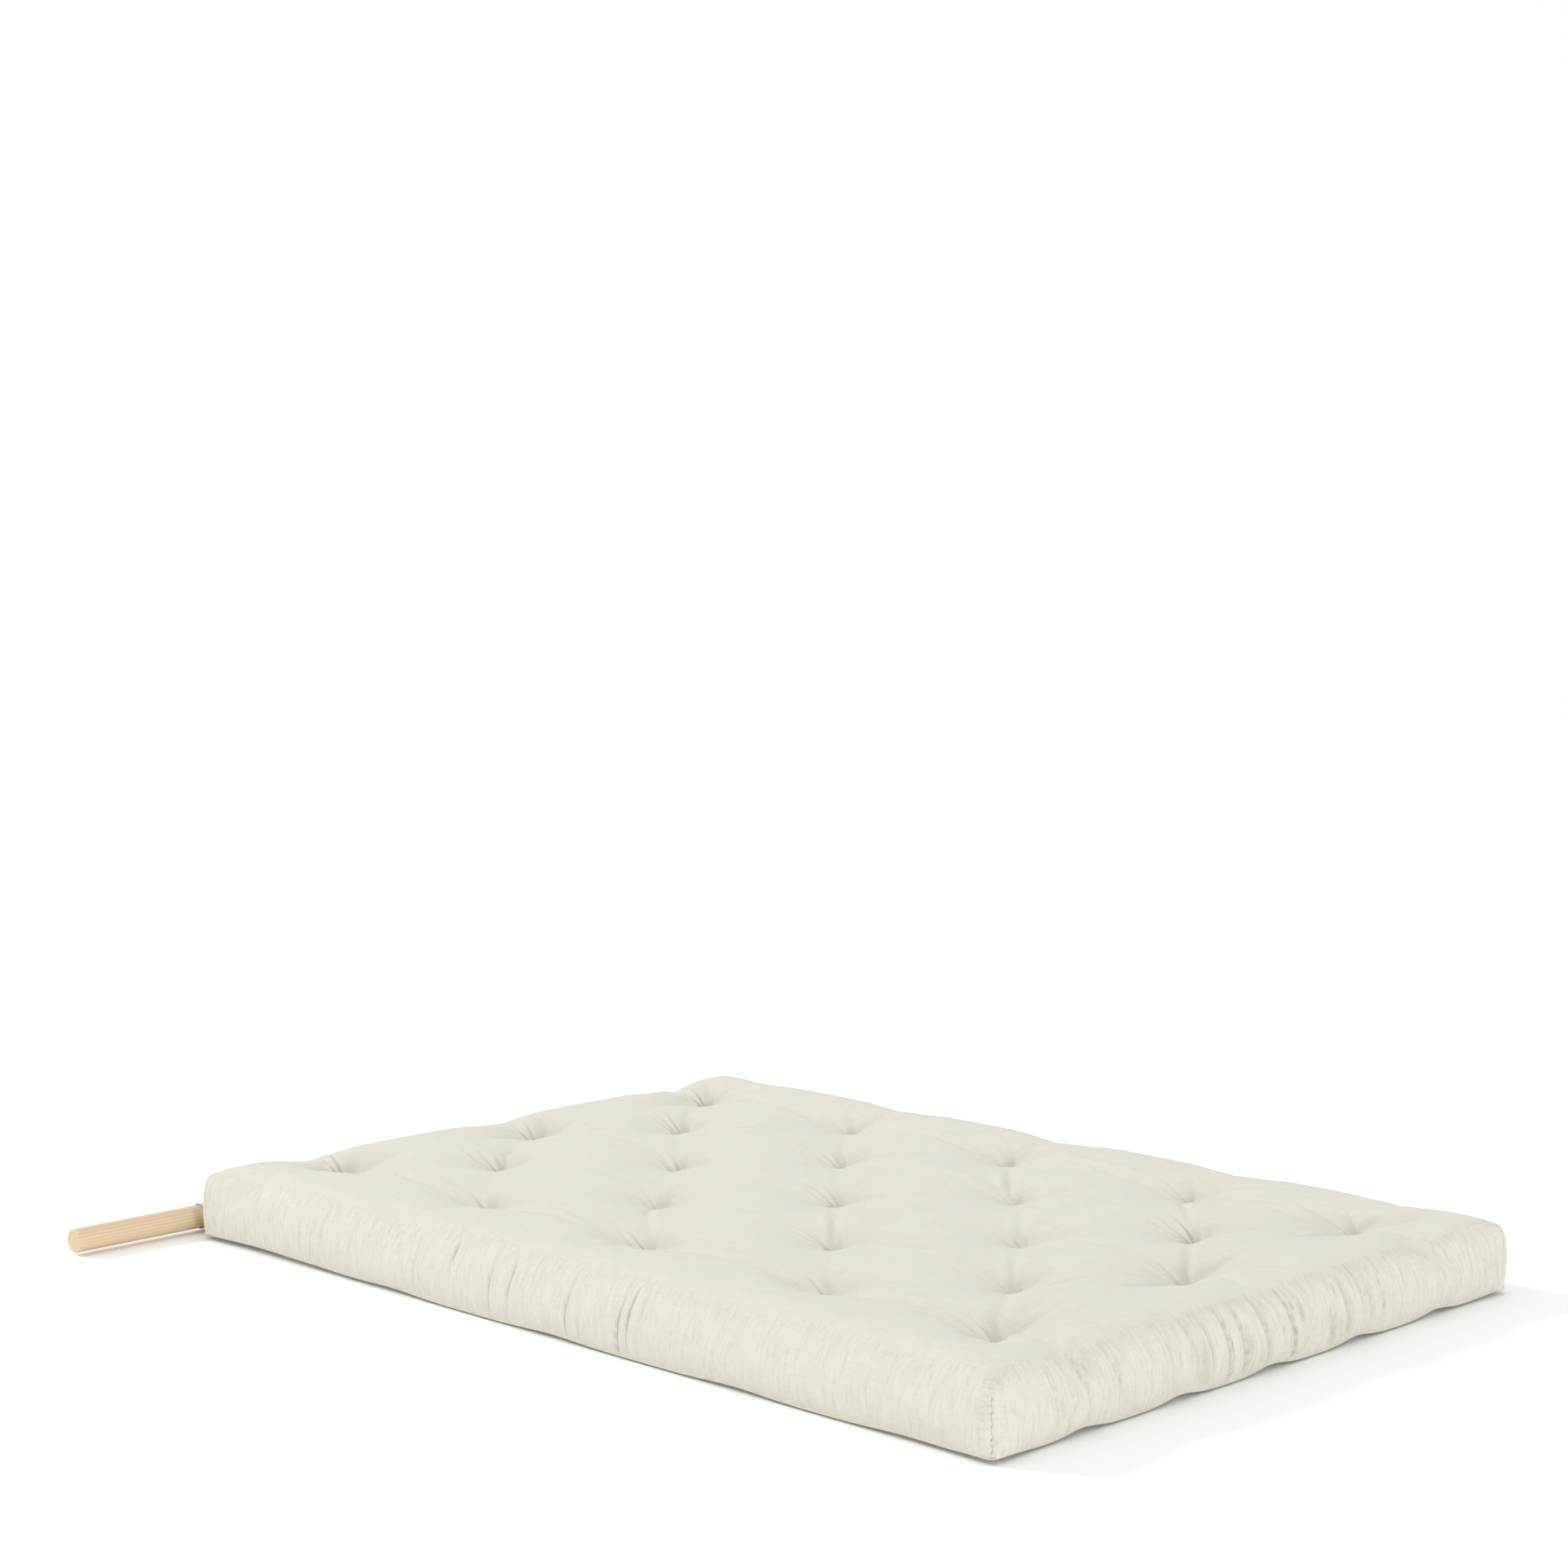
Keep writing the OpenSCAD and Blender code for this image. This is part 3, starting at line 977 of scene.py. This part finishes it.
def woven_cotton():
    """Undyed plain weave with slubs both ways, and fine upright gathers where it goes down the sides. The
    colour carries painted light on the gathers' ridges and painted shade in their grooves and in the pleats.
    """
    material, tree, shader = new_material("cover_cotton")
    shader.inputs["Roughness"].default_value = 0.9
    shader.inputs["Specular IOR Level"].default_value = 0.25
    shader.inputs["Sheen Weight"].default_value = 0.12
    shader.inputs["Sheen Roughness"].default_value = 0.5
    cloth = node(tree, "ShaderNodeUVMap", uv_map="cloth").outputs["UV"]
    split = tree.nodes.new("ShaderNodeSeparateXYZ")
    tree.links.new(cloth, split.inputs[0])
    u, v = split.outputs["X"], split.outputs["Y"]

    warp = stretched_noise(tree, cloth, (420, 22, 1), 4, 3.1)
    weft = stretched_noise(tree, cloth, (22, 420, 1), 4, 8.3)
    slub = calc(tree, "ADD", warp, weft)
    slub = calc(tree, "MULTIPLY_ADD", slub, 0.36, 0.14)

    across = calc(tree, "ABSOLUTE", u)
    on_long_side = calc(tree, "GREATER_THAN", across, HALF_W - 0.02)
    along = calc(tree, "ABSOLUTE", v)
    on_end = calc(tree, "GREATER_THAN", along, HALF_L - 0.02)
    # Upright streaks down the sides: in the bump they are the fine gathers. In the colour they are partly
    # streaks in the cloth and partly painted light and shade, lighter on each gather's ridge and darker in
    # its groove.
    fine_v = stretched_noise(tree, cloth, (20, 130, 1), 4, 1.7)
    fine_u = stretched_noise(tree, cloth, (130, 20, 1), 4, 5.9)
    side_streaks_and_gather_shade = calc(tree, "SUBTRACT", fine_v, 0.5)
    end_streaks_and_gather_shade = calc(tree, "SUBTRACT", fine_u, 0.5)
    upright = calc(tree, "MULTIPLY", side_streaks_and_gather_shade, on_long_side)
    upright = calc(tree, "MULTIPLY_ADD", end_streaks_and_gather_shade, on_end, upright)

    per_metre = 2 * math.pi / THREAD_PITCH
    over_u = calc(tree, "SINE", calc(tree, "MULTIPLY", u, per_metre))
    over_v = calc(tree, "SINE", calc(tree, "MULTIPLY", v, per_metre))
    weave = calc(tree, "MULTIPLY", over_u, over_v)

    # Pleats: grooves in the bump, and painted shade in the colour, where they darken the cloth.
    pleat_u = stretched_noise(tree, cloth, (60, 8, 1), 2, 12.3)
    pleat_v = stretched_noise(tree, cloth, (8, 60, 1), 2, 15.1)
    pleats = calc(tree, "MULTIPLY", raised(tree, pleat_v, 0.66, 0.78), on_long_side)
    pleats = calc(tree, "MULTIPLY", pleats, 0.35)
    end_pleats = raised(tree, pleat_u, 0.62, 0.74)
    pleats = calc(tree, "MULTIPLY_ADD", end_pleats, on_end, pleats)

    patches = stretched_noise(tree, cloth, (11, 11, 1), 4, 4.4)
    upright = calc(tree, "MULTIPLY", upright, patches)
    # In the tone, the pleats are painted shade and the upright streaks are partly painted light and shade.
    # The slubs, patches and weave are the cloth's own.
    tone = mixed(tree, slub, [(upright, 1.2), (patches, 0.12), (weave, 0.01), (pleats, -0.06)])
    base = colours(tree, tone, [
        (0.30, (0.537, 0.513, 0.436)),
        (0.54, (0.616, 0.594, 0.519)),
        (0.78, (0.662, 0.645, 0.576)),
    ])
    motes = stretched_noise(tree, cloth, (260, 260, 1), 2, 6.6)
    motes = calc(tree, "MULTIPLY", calc(tree, "GREATER_THAN", motes, 0.76), 0.30)
    mix = node(tree, "ShaderNodeMix", data_type="RGBA")
    tree.links.new(motes, mix.inputs["Factor"])
    tree.links.new(base, mix.inputs[6])
    mix.inputs[7].default_value = (0.36, 0.27, 0.16, 1)
    tree.links.new(mix.outputs[2], shader.inputs["Base Color"])

    height = mixed(tree, slub, [(weave, 0.10), (upright, 6.0), (pleats, -1.6)])
    bumped(tree, shader, height, 0.0009, 0.8)
    return material


def cotton_felt():
    """Carded cotton: matted fibres with soft lumps."""
    material, tree, shader = new_material("cotton_felt")
    shader.inputs["Roughness"].default_value = 1.0
    place = tree.nodes.new("ShaderNodeTexCoord").outputs["Object"]
    fibres = node(tree, "ShaderNodeTexNoise", Scale=220.0, Detail=5.0, Distortion=2.5)
    tree.links.new(place, fibres.inputs["Vector"])
    base = colours(tree, fibres.outputs["Fac"], [
        (0.3, (0.66, 0.61, 0.50)),
        (0.7, (0.83, 0.80, 0.71)),
    ])
    tree.links.new(base, shader.inputs["Base Color"])
    bumped(tree, shader, fibres.outputs["Fac"], 0.003)
    return material


def foam_rubber():
    """Open-cell foam: pale yellow, with small pits."""
    material, tree, shader = new_material("foam_rubber")
    shader.inputs["Roughness"].default_value = 0.95
    place = tree.nodes.new("ShaderNodeTexCoord").outputs["Object"]
    cells = node(tree, "ShaderNodeTexVoronoi", Scale=420.0)
    tree.links.new(place, cells.inputs["Vector"])
    base = colours(tree, cells.outputs["Distance"], [
        (0.1, (0.87, 0.79, 0.52)),
        (0.8, (0.74, 0.64, 0.38)),
    ])
    tree.links.new(base, shader.inputs["Base Color"])
    bumped(tree, shader, cells.outputs["Distance"], 0.001)
    return material


def twisted_yarn(name, light, dark, pitch):
    """Plied yarn: a slanting groove along each thread, with painted shade in the groove and painted light on
    each ply's crown.
    """
    material, tree, shader = new_material(name)
    shader.inputs["Roughness"].default_value = 0.8
    shader.inputs["Sheen Weight"].default_value = 0.15
    cloth = node(tree, "ShaderNodeUVMap", uv_map="cloth").outputs["UV"]
    split = tree.nodes.new("ShaderNodeSeparateXYZ")
    tree.links.new(cloth, split.inputs[0])
    turns = calc(tree, "MULTIPLY_ADD", split.outputs["X"], 1 / pitch, split.outputs["Y"])
    ply = calc(tree, "SINE", calc(tree, "MULTIPLY", turns, 4 * math.pi))
    ply = calc(tree, "MULTIPLY_ADD", ply, 0.5, 0.5)
    # The colour follows the bump: painted shade in each groove of the twist, painted light on each ply's
    # crown.
    tree.links.new(colours(tree, ply, [(0.0, dark), (1.0, light)]), shader.inputs["Base Color"])
    bumped(tree, shader, ply, 0.0004)
    return material


def pale_wood():
    """Planed softwood, unvarnished: straight grain along the dowel, seen as rings on its ends."""
    material, tree, shader = new_material("pale_wood")
    shader.inputs["Roughness"].default_value = 0.55
    shader.inputs["Specular IOR Level"].default_value = 0.35
    place = tree.nodes.new("ShaderNodeTexCoord").outputs["Object"]
    along = node(tree, "ShaderNodeMapping", vector_type="POINT")
    along.inputs["Scale"].default_value = (0.35, 9, 9)
    along.inputs["Location"].default_value = (0, -9.35, 0.32)
    tree.links.new(place, along.inputs["Vector"])
    rings = node(
        tree, "ShaderNodeTexWave", wave_type="RINGS", rings_direction="X",
        Scale=5.5, Distortion=2.2, Detail=3.0, Detail_Scale=1.4,
    )
    tree.links.new(along.outputs[0], rings.inputs["Vector"])
    fibre = node(tree, "ShaderNodeMapping", vector_type="POINT")
    fibre.inputs["Scale"].default_value = (14, 900, 900)
    tree.links.new(place, fibre.inputs["Vector"])
    fibres = node(tree, "ShaderNodeTexNoise", Scale=1.0, Detail=3.0)
    tree.links.new(fibre.outputs[0], fibres.inputs["Vector"])
    grain = calc(tree, "MULTIPLY", rings.outputs["Fac"], 0.35)
    grain = calc(tree, "MULTIPLY_ADD", fibres.outputs["Fac"], 0.45, grain)
    base = colours(tree, grain, [
        (0.10, (0.655, 0.527, 0.356)),
        (0.50, (0.595, 0.465, 0.298)),
        (0.90, (0.517, 0.383, 0.225)),
    ])
    tree.links.new(base, shader.inputs["Base Color"])
    bumped(tree, shader, fibres.outputs["Fac"], 0.0004, 0.4)
    return material


# ---------------------------------------------------------------- stage

# Where the two lights stand, how wide they are, and their power in watts
KEY_LIGHT = ((-7.5, 15.2, 10.3), 4, 1700)
FILL_LIGHT = ((-4.4, -12, 1.0), 3, 590)
# The camera that the four corners of the pad in the photograph fix
CAMERA_PLACE = (-4.1865, -4.0049, 1.4659)
CAMERA_TURN = math.radians(45.382)
CAMERA_PITCH = math.radians(5.546)
LENS_MM = 72.366
SENSOR_MM = 36


def stage():
    """A plain pale floor, just below the pad."""
    bpy.ops.mesh.primitive_circle_add(vertices=96, radius=14, fill_type="NGON", location=(0, 0, -0.002))
    floor = bpy.context.object
    floor.name = "floor"
    material, _, shader = new_material("floor_white")
    shader.inputs["Base Color"].default_value = (0.93, 0.93, 0.925, 1)
    shader.inputs["Roughness"].default_value = 0.9
    set_material(floor, material)


def soft_light(name, place, size, power):
    """A round area light, aimed at the origin."""
    data = bpy.data.lights.new(name, "AREA")
    data.shape = "DISK"
    data.size = size
    data.energy = power
    light = bpy.data.objects.new(name, data)
    light.location = place
    light.rotation_euler = (-Vector(place)).to_track_quat("-Z", "Y").to_euler()
    bpy.context.scene.collection.objects.link(light)


def lights():
    """A white world, a key light behind the pad and a low fill light in front of it."""
    scene = bpy.context.scene
    scene.view_settings.view_transform = "Standard"
    world = bpy.data.worlds.new("studio")
    scene.world = world
    world.use_nodes = True
    background = world.node_tree.nodes["Background"]
    background.inputs["Color"].default_value = (1, 1, 1, 1)
    background.inputs["Strength"].default_value = 1.0
    soft_light("key", *KEY_LIGHT)
    soft_light("fill", *FILL_LIGHT)


def camera():
    """The photograph's camera."""
    data = bpy.data.cameras.new("camera")
    data.sensor_width = SENSOR_MM
    data.lens = LENS_MM
    view = bpy.data.objects.new("camera", data)
    view.location = CAMERA_PLACE
    turn, pitch = CAMERA_TURN, CAMERA_PITCH
    ahead = Vector((math.sin(turn) * math.cos(pitch), math.cos(turn) * math.cos(pitch), -math.sin(pitch)))
    view.rotation_euler = ahead.to_track_quat("-Z", "Y").to_euler()
    bpy.context.scene.collection.objects.link(view)
    bpy.context.scene.camera = view


def bend_at_fold(piece):
    """Bakes the piece's placement into its points."""
    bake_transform(piece)


def build():
    """Makes every piece with its material, hides each CAD part that a piece stands in for, and hangs the
    ties, stitches and sleeve on the bodies they move with.
    """
    rng = np.random.default_rng(11)
    cotton, felt, foam = woven_cotton(), cotton_felt(), foam_rubber()
    twine = twisted_yarn("tufting_twine", (0.78, 0.74, 0.63), (0.50, 0.44, 0.33), 0.006)
    thread = twisted_yarn("sewing_thread", (0.80, 0.78, 0.70), (0.58, 0.55, 0.46), 0.0025)
    cover = cover_top(rng)
    set_material(cover, cotton)
    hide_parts("cover_top_seat", "cover_top_back")

    under = cover_bottom()
    set_material(under, cotton)
    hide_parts("cover_bottom_seat", "cover_bottom_back")

    for piece in filling(cover):
        is_foam = piece.name.startswith("foam")
        set_material(piece, foam if is_foam else felt)
        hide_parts(f"{piece.name}_seat", f"{piece.name}_back")
        bend_at_fold(piece)

    for part in ("seat", "back"):
        ties = tuft_ties(part, cover)
        set_material(ties, twine)
        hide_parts(f"tuft_ties_{part}")
        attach(ties, part)
    for end, body in ((-1, "seat"), (1, "back")):
        stitches = corner_stitches(end, cover)
        set_material(stitches, thread)
        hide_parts(stitches.name.replace("thread", "stitching"))
        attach(stitches, body)

    seam = bottom_seam()
    set_material(seam, thread)
    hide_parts("bottom_seam_seat", "bottom_seam_back")
    for piece in (cover, under, seam):
        bend_at_fold(piece)

    sleeve, width, length = dowel_sleeve(rng)
    set_material(sleeve, cotton)
    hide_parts("dowel_sleeve")
    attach(sleeve, "sleeve")
    stitches = sleeve_stitches()
    set_material(stitches, thread)
    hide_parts("sleeve_stitching")
    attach(stitches, "sleeve")
    set_material(bpy.data.objects["hanging_dowel"], pale_wood())
    camera()
    lights()
    stage()


build()
